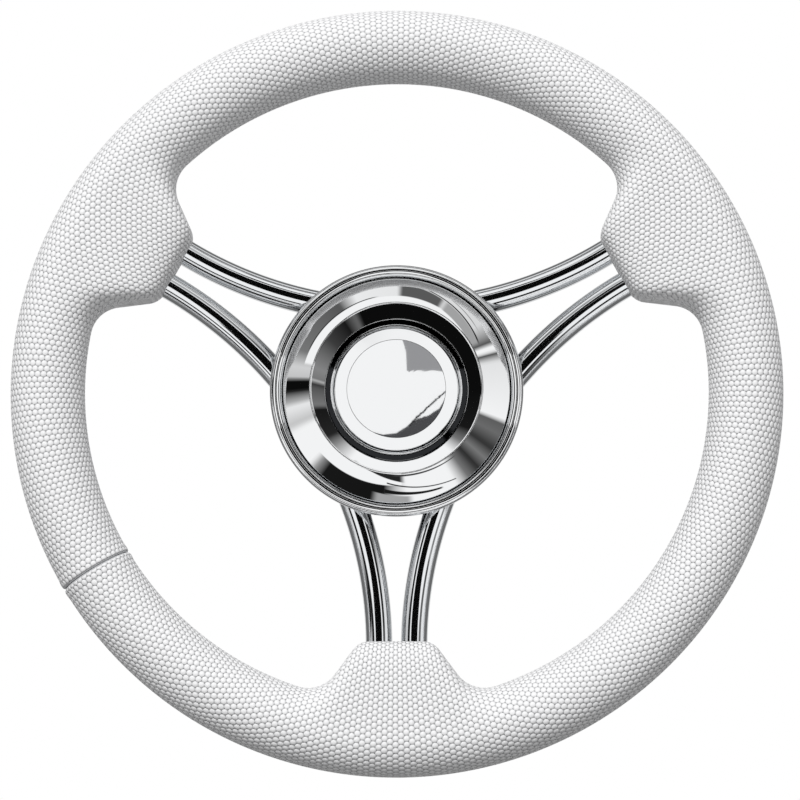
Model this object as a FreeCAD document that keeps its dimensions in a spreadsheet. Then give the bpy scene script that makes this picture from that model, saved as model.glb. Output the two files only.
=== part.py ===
import FreeCAD, Part
import math
import os
import Sketcher

# Boat steering wheel: a moulded ring grip on a steel hoop, three bent spoke rods on a hub plate,
# a turned hub with a tapered bore, and a pressed cover with a plain centre cap.
# The axis of the wheel is Y. The driver looks along +Y, +Z is up and one spoke points straight down.
# The origin is on the axis, in the hub's rear face, and "forward" is the distance ahead of that face.

Vector = FreeCAD.Vector
document = FreeCAD.newDocument("boat_steering_wheel")

SIZES = [
    ("wheel_diameter", 350, "outside of the grip"),
    ("grip_thickness", 33.6, "thickness of the grip's round section"),
    ("rim_forward", 60, "middle of the grip ahead of the hub's rear face"),
    ("spoke_rise", 29, "angle of the two upper spokes above the horizontal"),
    ("boss_reach", 114.5, "axis to the end of a grip boss"),
    ("boss_end_width", 24, "flat part of a boss's end"),
    ("boss_corner", 9, "corner radius of a boss's end"),
    ("boss_flank", 37, "angle of a boss's sides from its own middle line"),
    ("boss_foot", 15, "radius where a boss's side runs into the ring"),
    ("boss_squareness", 4.5, "exponent of a boss's section, 2 is an ellipse"),
    ("seam_angle", 210.5, "place of the grip's butt seam around the wheel"),
    ("seam_width", 3, "width of the seam's groove"),
    ("seam_depth", 1.1, "depth of the seam's groove"),
    ("hoop_width", 16, "steel hoop inside the grip, along the axis"),
    ("hoop_thickness", 5, "steel hoop inside the grip, across"),
    ("rod_diameter", 12, "spoke rods"),
    ("rod_bend", 184, "bend radius of the spoke rods"),
    ("rod_pair_gap", 17.8, "middle to middle of the lower spoke's two rods, where they are closest"),
    ("rod_top_gap", 20.3, "the same as if the top rod were one of a pair, as it lies a little higher"),
    ("rod_seat", 0.6, "depth of the rods' seats in the hub plate"),
    ("hub_length", 35, "hub behind the plate"),
    ("hub_collar", 48, "diameter of the hub's rear collar"),
    ("hub_collar_length", 12, "length of the hub's rear collar"),
    ("hub_waist", 38, "diameter of the hub's waist"),
    ("hub_flange", 90, "diameter of the flange that carries the plate"),
    ("hub_flange_thickness", 7, "thickness of that flange"),
    ("hub_flange_relief", 1.5, "fall of the flange's back towards the waist"),
    ("hub_spigot", 40, "diameter of the hub's front spigot"),
    ("hub_spigot_end", 50, "forward end of the spigot"),
    ("nut_recess", 27, "diameter of the recess for the shaft nut"),
    ("taper_large", 19.05, "diameter of the bore's large end"),
    ("taper_small", 16.2, "diameter of the bore's small end"),
    ("taper_length", 34.2, "length of the tapered bore"),
    ("key_width", 4.76, "keyway"),
    ("key_depth", 2.4, "keyway, beyond the bore's large end"),
    ("plate_diameter", 109, "hub plate"),
    ("plate_thickness", 4, "hub plate"),
    ("fit_gap", 0.2, "clearance around parts that slip into each other"),
    ("screw_circle", 76, "circle of the three plate screws"),
    ("screw_diameter", 6, "plate screws"),
    ("screw_length", 11, "plate screws, under the head"),
    ("screw_head_flats", 10, "plate screws, across the flats"),
    ("screw_head_height", 4, "plate screws"),
    ("cover_diameter", 115.4, "outside of the cover's rolled bead"),
    ("cover_sheet", 1.2, "thickness of the cover's sheet"),
    ("bead_thickness", 5.6, "rolled bead"),
    ("bead_lift", 1.7, "rolled bead clear of the rods' level at the hub"),
    ("cover_rise", 13.4, "ridge of the cover ahead of the back of the bead"),
    ("ridge_diameter", 79, "outer edge of the cover's ridge"),
    ("ridge_width", 1.2, "flat on top of the ridge"),
    ("moat_diameter", 65.2, "foot of the wall inside the ridge"),
    ("moat_depth", 9.5, "depth of that foot below the ridge"),
    ("bezel_diameter", 64.2, "outside of the bezel's lip"),
    ("bezel_lip", 2.1, "height of the bezel's lip on the cover's floor"),
    ("bezel_wall", 1.5, "wall and floor of the bezel's cup"),
    ("bezel_chamfer", 1.1, "chamfer inside the bezel's lip"),
    ("bezel_screw_circle", 34, "circle of the three screws in the bezel's floor"),
    ("bezel_screw_diameter", 4, "screws in the bezel's floor"),
    ("bezel_screw_length", 8, "screws in the bezel's floor"),
    ("bezel_screw_flats", 6, "screws in the bezel's floor, across the flats"),
    ("bezel_screw_head_height", 2.6, "screws in the bezel's floor"),
    ("cap_diameter", 56, "centre cap"),
    ("cap_edge", 3.4, "edge of the centre cap ahead of the cover's floor"),
    ("cap_face_diameter", 45, "flat face inside the cap's bevel"),
    ("cap_bevel_height", 1.7, "rise of the cap's bevel"),
    ("cap_wall", 1.6, "wall of the centre cap"),
]

sheet = document.addObject("Spreadsheet::Sheet", "Sizes")
for row, (alias, size, meaning) in enumerate(SIZES, start=1):
    sheet.set("A%d" % row, alias)
    sheet.set("B%d" % row, str(size))
    sheet.set("C%d" % row, meaning)
    sheet.setAlias("B%d" % row, alias)
document.recompute()

# Sides of the many-sided sections and rings.
GRIP_SIDES = 16
RING_STEP = 6.0
ROD_SIDES = 12
ROD_STEPS = 52
ROD_SPAN = range(6, 20)
HOOP_SIDES = 48
HUB_SIDES = 40
COVER_SIDES = 48
SCREW_ANGLES = (30, 150, 270)

measures = document.addObject("App::VarSet", "Derived")


def value(expression):
    """Number that an expression on the sheet gives."""
    return float(sheet.evalExpression(expression))


def derived(name, expression):
    """Size worked out from the sheet, kept under a name that other expressions can use."""
    measures.addProperty("App::PropertyFloat", name, "Derived")
    measures.setExpression(name, expression)
    document.recompute()
    return "Derived." + name


# Radii, and levels ahead of the hub's rear face, that several pieces share.
RING_RADIUS = derived("ring_radius", "(Sizes.wheel_diameter - Sizes.grip_thickness) / 2")
HOOP_INNER = derived("hoop_inner", RING_RADIUS + " - Sizes.hoop_thickness / 2")
HOOP_OUTER = derived("hoop_outer", RING_RADIUS + " + Sizes.hoop_thickness / 2")
HOOP_BACK = derived("hoop_back", "Sizes.rim_forward - Sizes.hoop_width / 2")
PLATE_FRONT = derived("plate_front", "Sizes.hub_length + Sizes.plate_thickness")
ROD_LEVEL = derived("rod_level", PLATE_FRONT + " + Sizes.rod_diameter / 2 - Sizes.rod_seat")
BEAD_BACK = derived("bead_back", ROD_LEVEL + " + Sizes.rod_diameter / 2 + Sizes.bead_lift")
RIDGE_TOP = derived("ridge_top", BEAD_BACK + " + Sizes.cover_rise")
COVER_FLOOR = derived("cover_floor", RIDGE_TOP + " - Sizes.moat_depth")
BEZEL_INNER = derived("bezel_inner", "Sizes.cap_diameter / 2 + Sizes.fit_gap")
BEZEL_OUTER = derived("bezel_outer", BEZEL_INNER + " + Sizes.bezel_wall")
COVER_HOLE = derived("cover_hole", BEZEL_OUTER + " + Sizes.fit_gap")
BEZEL_FLOOR = derived("bezel_floor", "Sizes.hub_spigot_end + Sizes.bezel_wall")
BEZEL_TOP = derived("bezel_top", COVER_FLOOR + " + Sizes.bezel_lip")
CAP_EDGE = derived("cap_edge", COVER_FLOOR + " + Sizes.cap_edge")
CAP_FRONT = derived("cap_front", CAP_EDGE + " + Sizes.cap_bevel_height")
SCREW_HOLE = derived("screw_hole", "Sizes.screw_diameter + 2 * Sizes.fit_gap")
BEZEL_SCREW_HOLE = derived("bezel_screw_hole", "Sizes.bezel_screw_diameter + 2 * Sizes.fit_gap")


finished = []


def labelled(piece, label):
    """Give a finished sub-part the label that names its file."""
    piece.Label = label
    finished.append(piece)
    return piece


def drive(sketch, kind, vertex, expression):
    """Hold a vertex at a distance from the sketch's origin that follows the sheet."""
    number = sketch.addConstraint(Sketcher.Constraint(kind, -1, 1, vertex[0], vertex[1], value(expression)))
    sketch.setExpression("Constraints[%d]" % number, expression)


def closed_outline(sketch, corners):
    """Closed outline of straight lines through corners given as pairs of expressions."""
    places = [Vector(value(across), value(along), 0) for across, along in corners]
    count = len(corners)
    for index in range(count):
        sketch.addGeometry(Part.LineSegment(places[index], places[(index + 1) % count]), False)
    for index in range(count):
        following = (index + 1) % count
        sketch.addConstraint(Sketcher.Constraint("Coincident", index, 2, following, 1))
    for index, (across, along) in enumerate(corners):
        drive(sketch, "DistanceX", (index, 1), across)
        drive(sketch, "DistanceY", (index, 1), along)


def turned(name, sides, corners):
    """Ring about the wheel's axis, swept in equal steps from a section with corners (radius, forward)."""
    section = document.addObject("Sketcher::SketchObject", name + "_section")
    section.Placement = FreeCAD.Placement(Vector(0, 0, 0), FreeCAD.Rotation(Vector(1, 0, 0), 180))
    closed_outline(section, corners)
    spine = document.addObject("Part::RegularPolygon", name + "_spine")
    spine.Polygon = sides
    spine.setExpression("Circumradius", corners[0][0])
    spine.Placement = FreeCAD.Placement(Vector(0, 0, 0), FreeCAD.Rotation(Vector(1, 0, 0), 90))
    ring = document.addObject("Part::Sweep", name)
    ring.Sections = [section]
    ring.Spine = (spine, ["Edge%d" % (number + 1) for number in range(sides)])
    ring.Solid = True
    ring.Transition = "Right corner"
    return ring


def outline_of_boss():
    """Points (angle from the boss's middle, radius) from the end of a boss to the ring."""
    inner = value(RING_RADIUS) - value("Sizes.grip_thickness") / 2
    reach = value("Sizes.boss_reach")
    half = value("Sizes.boss_end_width") / 2
    corner = value("Sizes.boss_corner")
    foot = value("Sizes.boss_foot")
    flank = math.radians(value("Sizes.boss_flank"))
    along = Vector(math.sin(flank), math.cos(flank), 0)
    outwards = Vector(math.cos(flank), -math.sin(flank), 0)
    corner_centre = Vector(half, reach + corner, 0)
    flank_start = corner_centre + outwards * corner
    base = flank_start + outwards * foot
    forward_part = base.dot(along)
    run = math.sqrt(forward_part ** 2 - base.dot(base) + (inner - foot) ** 2) - forward_part
    foot_centre = base + along * run
    flank_end = foot_centre - outwards * foot
    touch = foot_centre * (inner / foot_centre.Length)
    points = [Vector(0, reach, 0), Vector(half / 2, reach, 0), Vector(half, reach, 0)]
    for share in (0.5, 1.0):
        turn = share * (math.pi / 2 - flank)
        points.append(corner_centre + Vector(math.sin(turn), -math.cos(turn), 0) * corner)
    points.append((flank_start + flank_end) / 2)
    start_angle = math.atan2((flank_end - foot_centre).y, (flank_end - foot_centre).x)
    end_angle = math.atan2((touch - foot_centre).y, (touch - foot_centre).x)
    for share in (0.0, 0.45, 1.0):
        turn = start_angle + share * (end_angle - start_angle)
        points.append(foot_centre + Vector(math.cos(turn), math.sin(turn), 0) * foot)
    return [(math.degrees(math.atan2(point.x, point.y)), point.Length) for point in points]


def grip_stations():
    """Stations (angle, inner radius, size of the section) all the way round the grip."""
    plain = value(RING_RADIUS) - value("Sizes.grip_thickness") / 2
    rise = value("Sizes.spoke_rise")
    half_outline = outline_of_boss()
    clear = half_outline[-1][0] + RING_STEP / 2
    seam = value("Sizes.seam_angle")
    half_seam = math.degrees(value("Sizes.seam_width") / 2 / value(RING_RADIUS))
    depth_share = value("Sizes.seam_depth") / (value("Sizes.grip_thickness") / 2)
    stations = [(seam - half_seam, plain, 1.0), (seam, plain, 1.0 - depth_share), (seam + half_seam, plain, 1.0)]
    spokes = [rise, 180 - rise, 270]
    for spoke in spokes:
        for angle, radius in half_outline:
            stations.append((spoke + angle, radius, 1.0))
            if angle > 0:
                stations.append((spoke - angle, radius, 1.0))
    for step in range(round(360 / RING_STEP)):
        angle = step * RING_STEP
        gaps = [abs((angle - spoke + 180) % 360 - 180) for spoke in spokes]
        seam_gap = abs((angle - seam + 180) % 360 - 180)
        if min(gaps) > clear and seam_gap > RING_STEP / 2:
            stations.append((angle, plain, 1.0))
    return sorted((angle % 360, radius, share) for angle, radius, share in stations)


def grip_section(angle, inner, share):
    """Closed section of the grip at an angle round the wheel: round outside, drawn in to a boss inside."""
    ring = value(RING_RADIUS)
    tube = value("Sizes.grip_thickness") / 2
    plain = ring - tube
    drawn = (plain - inner) / (plain - value("Sizes.boss_reach"))
    power = 2 + (value("Sizes.boss_squareness") - 2) * max(0.0, drawn)
    turn = math.radians(angle)
    corners = []
    for side in range(GRIP_SIDES):
        around = 2 * math.pi * side / GRIP_SIDES
        across = math.cos(around)
        level = math.sin(around)
        if across >= 0:
            radius = ring + tube * share * across
            height = tube * share * level
        else:
            radius = ring - (ring - inner) * share * abs(across) ** (2 / power)
            height = tube * share * math.copysign(abs(level) ** (2 / power), level)
        corners.append(Vector(radius * math.cos(turn), height, radius * math.sin(turn)))
    return Part.makePolygon(corners + corners[:1])


def moulded_grip():
    """The grip as it would be without steel inside, lofted through its sections."""
    sections = [grip_section(*station) for station in grip_stations()]
    skin = Part.makeLoft(sections + sections[:1], False, True, False)
    grip = document.addObject("Part::Feature", "grip_form")
    grip.Shape = Part.makeSolid(Part.makeShell(skin.Faces))
    grip.Placement = FreeCAD.Placement(Vector(0, -value("Sizes.rim_forward"), 0), FreeCAD.Rotation())
    return grip


def prism(name, sides, circumradius, height, back):
    """Many-sided prism about the wheel's axis, reaching forward from a level."""
    piece = document.addObject("Part::Prism", name)
    piece.Polygon = sides
    piece.setExpression("Circumradius", circumradius)
    piece.setExpression("Height", height)
    piece.setExpression("Placement", "placement(vector(0; 0 - (%s); 0); rotation(0; 0; 90))" % back)
    return piece


def boolean(kind, name, base, tool):
    """Cut or common of two pieces."""
    piece = document.addObject("Part::" + kind, name)
    piece.Base = base
    piece.Tool = tool
    return piece


def rod_numbers(name, half_angle, pair_gap):
    """Nearest distance from the axis to a rod, and the tilt that carries it to the ring's middle.

    The half angle is the one between the rod's own middle and the middle of either of its spokes.
    """
    sine = "sin(%s)" % half_angle
    gap = pair_gap + " / 2 / " + sine
    near = derived("near_" + name, gap + " + Sizes.rod_bend * (1 / %s - 1)" % sine)
    dish = derived("dish_" + name, "Sizes.rim_forward - " + ROD_LEVEL)
    half_sum = derived("half_sum_" + name, "(%s ^ 2 - %s ^ 2 + %s ^ 2) / 2" % (RING_RADIUS, near, dish))
    spread = derived("spread_" + name, "Sizes.rod_bend ^ 2 - %s ^ 2" % near)
    twist = derived("twist_" + name, "%s ^ 2 + %s ^ 2 * %s ^ 2" % (half_sum, near, dish))
    root = derived("root_" + name, "sqrt(%s ^ 2 * Sizes.rod_bend ^ 2 - %s * %s)" % (half_sum, spread, twist))
    rise = derived("rise_" + name, "(%s * Sizes.rod_bend - %s) / %s" % (half_sum, root, spread))
    tilt = derived("tilt_" + name, "asin(%s / %s) / 1deg" % (dish, rise))
    centre = derived("centre_" + name, "%s + Sizes.rod_bend * cos(%s)" % (near, tilt))
    level = derived("level_" + name, "%s + Sizes.rod_bend * sin(%s)" % (ROD_LEVEL, tilt))
    return centre, level, tilt


def spoke_rod(label, middle, numbers, inside):
    """Round bar bent to one radius from boss to boss, passing the hub at its middle."""
    centre, level, tilt = numbers
    bar = document.addObject("Part::Sweep", label + "_bar")
    bar.Sections = [rod_section]
    bar.Spine = (rod_spine, ["Edge%d" % (number + 1) for number in ROD_SPAN])
    bar.Solid = True
    bar.Transition = "Right corner"
    place = "vector(%s * cos(%s); -1 * %s; %s * sin(%s))" % (centre, middle, level, centre, middle)
    turn = "rotation(0; 90 - %s; %s - 90)" % (middle, tilt)
    bar.setExpression("Placement", "placement(%s; %s)" % (place, turn))
    return labelled(boolean("Common", label + "_cut", bar, inside), label)


def place_on_circle(circle, angle, level, pitch):
    """Placement on a circle about the axis, at a level, that points forward (90) or backward (-90)."""
    place = "vector(%s / 2 * cos(%d); -1 * %s; %s / 2 * sin(%d))" % (circle, angle, level, circle, angle)
    return "placement(%s; rotation(0; 0; %d))" % (place, pitch)


def shank(name, diameter, length, circle, level, angle):
    """Straight many-sided pin that points backwards from a level."""
    pin = document.addObject("Part::Prism", name)
    pin.Polygon = ROD_SIDES
    pin.setExpression("Circumradius", diameter + " / 2")
    pin.setExpression("Height", length)
    pin.setExpression("Placement", place_on_circle(circle, angle, level, -90))
    return pin


def screw(name, diameter, length, flats, head, circle, level, angle):
    """Hexagon screw that points backwards from a level."""
    top = document.addObject("Part::Prism", name + "_head")
    top.Polygon = 6
    top.setExpression("Circumradius", flats + " / 2 / cos(30)")
    top.setExpression("Height", head)
    top.setExpression("Placement", place_on_circle(circle, angle, level, 90))
    return boolean("Fuse", name, shank(name + "_shank", diameter, length, circle, level, angle), top)


def screws(label, *sizes):
    """Three screws as one group."""
    group = document.addObject("Part::Compound", label)
    group.Links = [screw("%s_%d" % (label, angle), *sizes, angle) for angle in SCREW_ANGLES]
    return labelled(group, label)


def drilled(name, base, diameter, length, circle, level):
    """Three holes on a circle, cut backwards from a level."""
    tools = document.addObject("Part::Compound", name + "_tools")
    tools.Links = [shank("%s_%d" % (name, angle), diameter, length, circle, level, angle) for angle in SCREW_ANGLES]
    return boolean("Cut", name, base, tools)


# Steel hoop inside the grip.
hoop_outside = prism("hoop_outside", HOOP_SIDES, HOOP_OUTER, "Sizes.hoop_width", HOOP_BACK)
hoop_inside = prism("hoop_inside", HOOP_SIDES, HOOP_INNER, "Sizes.hoop_width", HOOP_BACK)
hoop = labelled(boolean("Cut", "hoop", hoop_outside, hoop_inside), "rim_hoop")

# Spoke rods, welded to the hoop's inside at both ends.
rod_spine = document.addObject("Part::RegularPolygon", "rod_spine")
rod_spine.Polygon = ROD_STEPS
rod_spine.setExpression("Circumradius", "Sizes.rod_bend")
rod_start = ROD_SPAN[0] * 360.0 / ROD_STEPS
rod_section = document.addObject("Part::RegularPolygon", "rod_section")
rod_section.Polygon = ROD_SIDES
rod_section.setExpression("Circumradius", "Sizes.rod_diameter / 2")
start_place = "vector(Sizes.rod_bend * cos(%.6f); Sizes.rod_bend * sin(%.6f); 0)" % (rod_start, rod_start)
rod_section.setExpression("Placement", "placement(%s; rotation(%.6f; 0; 90))" % (start_place, rod_start))
rod_reach = prism("rod_reach", HOOP_SIDES, HOOP_INNER, "2 * Sizes.rim_forward", "-0.5 * Sizes.rim_forward")
upper = rod_numbers("upper", "(90 - Sizes.spoke_rise)", "Sizes.rod_top_gap")
lower = rod_numbers("lower", "(45 + Sizes.spoke_rise / 2)", "Sizes.rod_pair_gap")
left_middle = derived("left_middle", "225 - Sizes.spoke_rise / 2")
right_middle = derived("right_middle", "315 + Sizes.spoke_rise / 2")
rods = [
    spoke_rod("spoke_rod_top", "90", upper, rod_reach),
    spoke_rod("spoke_rod_left", left_middle, lower, rod_reach),
    spoke_rod("spoke_rod_right", right_middle, lower, rod_reach),
]
document.recompute()

# Grip, moulded round the hoop and the ends of the rods.
grip = boolean("Cut", "grip_on_hoop", moulded_grip(), hoop)
for number, rod in enumerate(rods):
    grip = boolean("Cut", "grip_round_rod_%d" % number, grip, rod)
labelled(grip, "rim_grip")

# Hub plate, with a shallow seat for each rod.
plate_inner = "Sizes.hub_spigot / 2 + Sizes.fit_gap"
plate = turned("plate_disc", HUB_SIDES, [
    (plate_inner, "Sizes.hub_length"),
    ("Sizes.plate_diameter / 2", "Sizes.hub_length"),
    ("Sizes.plate_diameter / 2", PLATE_FRONT),
    (plate_inner, PLATE_FRONT),
])
screw_circle = "Sizes.screw_circle"
plate = drilled("plate_holes", plate, SCREW_HOLE, "Sizes.plate_thickness", screw_circle, PLATE_FRONT)
for number, rod in enumerate(rods):
    plate = boolean("Cut", "plate_seat_%d" % number, plate, rod)
labelled(plate, "hub_plate")

# Hub, turned from one bar, with a tapered bore and a keyway at its top.
flange_back = "Sizes.hub_length - Sizes.hub_flange_thickness"
waist_start = "Sizes.hub_collar_length + Sizes.hub_collar / 2 - Sizes.hub_waist / 2"
hub = turned("hub_bar", HUB_SIDES, [
    ("Sizes.taper_large / 2", "0.0"),
    ("Sizes.hub_collar / 2", "0.0"),
    ("Sizes.hub_collar / 2", "Sizes.hub_collar_length"),
    ("Sizes.hub_waist / 2", waist_start),
    ("Sizes.hub_waist / 2", flange_back + " - Sizes.hub_flange_relief"),
    ("Sizes.hub_flange / 2", flange_back),
    ("Sizes.hub_flange / 2", "Sizes.hub_length"),
    ("Sizes.hub_spigot / 2", "Sizes.hub_length"),
    ("Sizes.hub_spigot / 2", "Sizes.hub_spigot_end"),
    ("Sizes.nut_recess / 2", "Sizes.hub_spigot_end"),
    ("Sizes.nut_recess / 2", "Sizes.taper_length"),
    ("Sizes.taper_small / 2", "Sizes.taper_length"),
])
keyway = document.addObject("Part::Box", "keyway")
keyway.setExpression("Length", "Sizes.key_width")
keyway.setExpression("Width", "Sizes.taper_length")
keyway.setExpression("Height", "Sizes.taper_large / 2 + Sizes.key_depth")
keyway.setExpression("Placement.Base.x", "-0.5 * Sizes.key_width")
keyway.setExpression("Placement.Base.y", "-1 * Sizes.taper_length")
hub = boolean("Cut", "hub_keyed", hub, keyway)
flange_depth = "Sizes.hub_flange_thickness + Sizes.hub_flange_relief"
hub = drilled("flange_holes", hub, SCREW_HOLE, flange_depth, screw_circle, "Sizes.hub_length")
small_circle = "Sizes.bezel_screw_circle"
small_length = "Sizes.bezel_screw_length"
hub = drilled("spigot_holes", hub, BEZEL_SCREW_HOLE, small_length, small_circle, "Sizes.hub_spigot_end")
labelled(hub, "hub_boss")

plate_screw = ("Sizes.screw_diameter", "Sizes.screw_length", "Sizes.screw_head_flats", "Sizes.screw_head_height")
screws("hub_screws", *plate_screw, screw_circle, PLATE_FRONT)

# Cover: pressed sheet with a rolled bead, a ridge, and a moat round the cap.
bead_front = BEAD_BACK + " + Sizes.bead_thickness"
bead_middle = BEAD_BACK + " + Sizes.bead_thickness / 2"
bead_outer = "Sizes.cover_diameter / 2"
ridge_inner = "Sizes.ridge_diameter / 2 - Sizes.ridge_width"
moat_foot = "Sizes.moat_diameter / 2"
cover = turned("cover", COVER_SIDES, [
    (COVER_HOLE, COVER_FLOOR + " - Sizes.cover_sheet"),
    (moat_foot + " + Sizes.cover_sheet", COVER_FLOOR + " - Sizes.cover_sheet"),
    (ridge_inner + " + Sizes.cover_sheet", RIDGE_TOP + " - Sizes.cover_sheet"),
    (bead_outer + " - Sizes.bead_thickness - Sizes.cover_sheet / 2", bead_front + " - 2 * Sizes.cover_sheet"),
    (bead_outer + " - Sizes.bead_thickness * 0.75", BEAD_BACK),
    (bead_outer + " - Sizes.bead_thickness * 0.25", BEAD_BACK),
    (bead_outer, bead_middle),
    (bead_outer + " - Sizes.bead_thickness * 0.25", bead_front),
    (bead_outer + " - Sizes.bead_thickness * 0.75", bead_front),
    (bead_outer + " - Sizes.bead_thickness", bead_front + " - Sizes.cover_sheet"),
    ("Sizes.ridge_diameter / 2", RIDGE_TOP),
    (ridge_inner, RIDGE_TOP),
    (moat_foot, COVER_FLOOR),
    (COVER_HOLE, COVER_FLOOR),
])
labelled(cover, "hub_cover")

# Bezel: a cup screwed to the spigot, whose lip holds the cover's floor.
bezel = turned("bezel_cup", COVER_SIDES, [
    ("Sizes.nut_recess / 2", "Sizes.hub_spigot_end"),
    (BEZEL_OUTER, "Sizes.hub_spigot_end"),
    (BEZEL_OUTER, COVER_FLOOR),
    ("Sizes.bezel_diameter / 2", COVER_FLOOR),
    ("Sizes.bezel_diameter / 2", BEZEL_TOP),
    (BEZEL_INNER + " + Sizes.bezel_chamfer", BEZEL_TOP),
    (BEZEL_INNER, BEZEL_TOP + " - Sizes.bezel_chamfer"),
    (BEZEL_INNER, BEZEL_FLOOR),
    ("Sizes.nut_recess / 2", BEZEL_FLOOR),
])
bezel = drilled("bezel_holes", bezel, BEZEL_SCREW_HOLE, "Sizes.bezel_wall", small_circle, BEZEL_FLOOR)
labelled(bezel, "cap_bezel")

small_head = ("Sizes.bezel_screw_flats", "Sizes.bezel_screw_head_height")
screws("bezel_screws", "Sizes.bezel_screw_diameter", small_length, *small_head, small_circle, BEZEL_FLOOR)

# Centre cap, pressed into the bezel down to its floor.
cap_inner = "Sizes.cap_diameter / 2 - Sizes.cap_wall"
cap_floor = CAP_EDGE + " - Sizes.cap_wall"
cap_ring = turned("cap_ring", COVER_SIDES, [
    (cap_inner, BEZEL_FLOOR),
    ("Sizes.cap_diameter / 2", BEZEL_FLOOR),
    ("Sizes.cap_diameter / 2", CAP_EDGE),
    ("Sizes.cap_face_diameter / 2", CAP_FRONT),
    ("Sizes.cap_face_diameter / 2", cap_floor),
    (cap_inner, cap_floor),
])
cap_height = "Sizes.cap_wall + Sizes.cap_bevel_height"
cap_disc = prism("cap_disc", COVER_SIDES, "Sizes.cap_face_diameter / 2", cap_height, cap_floor)
cap = boolean("Fuse", "cap", cap_ring, cap_disc)
cap.Refine = True
labelled(cap, "centre_cap")

document.recompute()
for item in document.Objects:
    if "Invalid" in item.State or "Error" in item.State:
        raise RuntimeError("%s is not right: %s" % (item.Name, item.State))
for piece in finished:
    if piece.Shape.isNull() or not piece.Shape.isValid():
        raise RuntimeError("%s has no valid shape" % piece.Label)

os.makedirs("parts", exist_ok=True)
for piece in finished:
    piece.Shape.exportStep(os.path.join("parts", piece.Label + ".step"))
    print("%-16s %3d solids %10.1f mm3" % (piece.Label, len(piece.Shape.Solids), piece.Shape.Volume))
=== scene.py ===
"""Blender scene of a boat steering wheel: white beaded grip, bright rods in pairs, bright hub cover.

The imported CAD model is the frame. Each piece that the photo shows is built again at full
roundness on the same sizes, rides the CAD body and stands for its CAD node.
"""

import logging
import math
from dataclasses import dataclass
from enum import Enum

import bmesh
import bpy
import numpy as np
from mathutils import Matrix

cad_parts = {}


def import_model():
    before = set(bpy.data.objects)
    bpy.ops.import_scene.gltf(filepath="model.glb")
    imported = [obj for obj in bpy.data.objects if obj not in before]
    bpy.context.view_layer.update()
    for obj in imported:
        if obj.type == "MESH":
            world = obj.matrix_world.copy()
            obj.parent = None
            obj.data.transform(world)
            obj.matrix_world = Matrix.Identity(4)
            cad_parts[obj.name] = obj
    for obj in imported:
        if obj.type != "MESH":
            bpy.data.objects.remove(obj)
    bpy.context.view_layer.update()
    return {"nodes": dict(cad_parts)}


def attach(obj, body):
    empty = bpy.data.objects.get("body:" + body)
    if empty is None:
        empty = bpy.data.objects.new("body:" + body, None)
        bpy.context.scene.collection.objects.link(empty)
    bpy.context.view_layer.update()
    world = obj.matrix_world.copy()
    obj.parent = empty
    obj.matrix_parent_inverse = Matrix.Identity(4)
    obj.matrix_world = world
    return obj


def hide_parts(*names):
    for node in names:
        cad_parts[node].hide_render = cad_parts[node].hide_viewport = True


LOG = logging.getLogger("boat_wheel")
MM = 0.001
TURN = 2.0 * math.pi
BODY = "root"
WHITE = (1.0, 1.0, 1.0, 1.0)
BLACK = (0.002, 0.002, 0.002, 1.0)
# Share of a straight run that a rounded corner may take, and the half angle that counts as straight.
CORNER_SHARE = 0.48
STRAIGHT = 89.0

Outline = list[tuple[float, float]]
Stops = tuple[tuple[float, float], ...]
Socket = bpy.types.NodeSocket


@dataclass(frozen=True)
class WheelSizes:
    """Sizes in millimetres that several pieces share; levels run forward from the hub's rear face."""

    wheel_radius: float = 175.0
    tube: float = 16.8
    rim_level: float = 60.0
    spoke_rise: float = 29.0
    plate_rear: float = 35.0
    plate_front: float = 39.0
    cup_floor: float = 51.5

    @property
    def ring(self) -> float:
        """Radius of the circle through the middle of the grip's section."""
        return self.wheel_radius - self.tube

    @property
    def inner(self) -> float:
        """Inside radius of the grip between its bosses."""
        return self.ring - self.tube

    @property
    def spokes(self) -> tuple[float, float, float]:
        """Angles of the three spokes in degrees."""
        return (self.spoke_rise, 180.0 - self.spoke_rise, 270.0)


SIZES = WheelSizes()


def linear_colour(code: str) -> tuple[float, float, float, float]:
    """Turn an sRGB hex colour into linear values.

    Args:
        code: Colour such as "#ffffff".

    Returns:
        Red, green, blue and an alpha of one.
    """
    channels = []
    for start in (1, 3, 5):
        level = int(code[start:start + 2], 16) / 255.0
        channels.append(level / 12.92 if level <= 0.04045 else ((level + 0.055) / 1.055) ** 2.4)
    return (channels[0], channels[1], channels[2], 1.0)


@dataclass(frozen=True)
class Finish:
    """Look of one real material; its name says what it is and how its surface was made."""

    name: str
    colour: str
    metallic: float
    roughness: float


class Metal(Enum):
    """Metals on the wheel."""

    # Buffed before it was plated, so the room shows in it with sharp edges.
    CHROME = Finish("mirror_chrome_plate", "#f2f3f4", 1.0, 0.01)
    # Polished along the bar after bending, so long streaks stay sharp and small ones soften.
    ROD = Finish("polished_stainless_bar", "#eceef0", 1.0, 0.06)
    # Brushed sheet, which turns the room into a soft grey.
    PLATE = Finish("brushed_steel_plate", "#b9bbbe", 1.0, 0.34)
    # Fine tool marks spread the light round the hub.
    TURNED = Finish("turned_aluminium", "#c9cbd0", 1.0, 0.28)
    # Headed and plated, with a plain shine.
    SCREW = Finish("zinc_plated_screw_steel", "#c4c6c8", 1.0, 0.22)
    # Rolled and left plain, inside the grip.
    HOOP = Finish("rolled_steel_bar", "#a9abae", 1.0, 0.4)
    # Chrome painted dark: a painted reflection of the dark room, which reads as a black ring round the cap.
    SEAL = Finish("black_chrome_plate", "#2c2d2f", 1.0, 0.06)


# Foam moulded against a beaded tool: a matt skin that takes soft light and no mirror image.
SKIN = Finish("moulded_foam_skin", "#f4f4f5", 0.0, 0.52)


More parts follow.
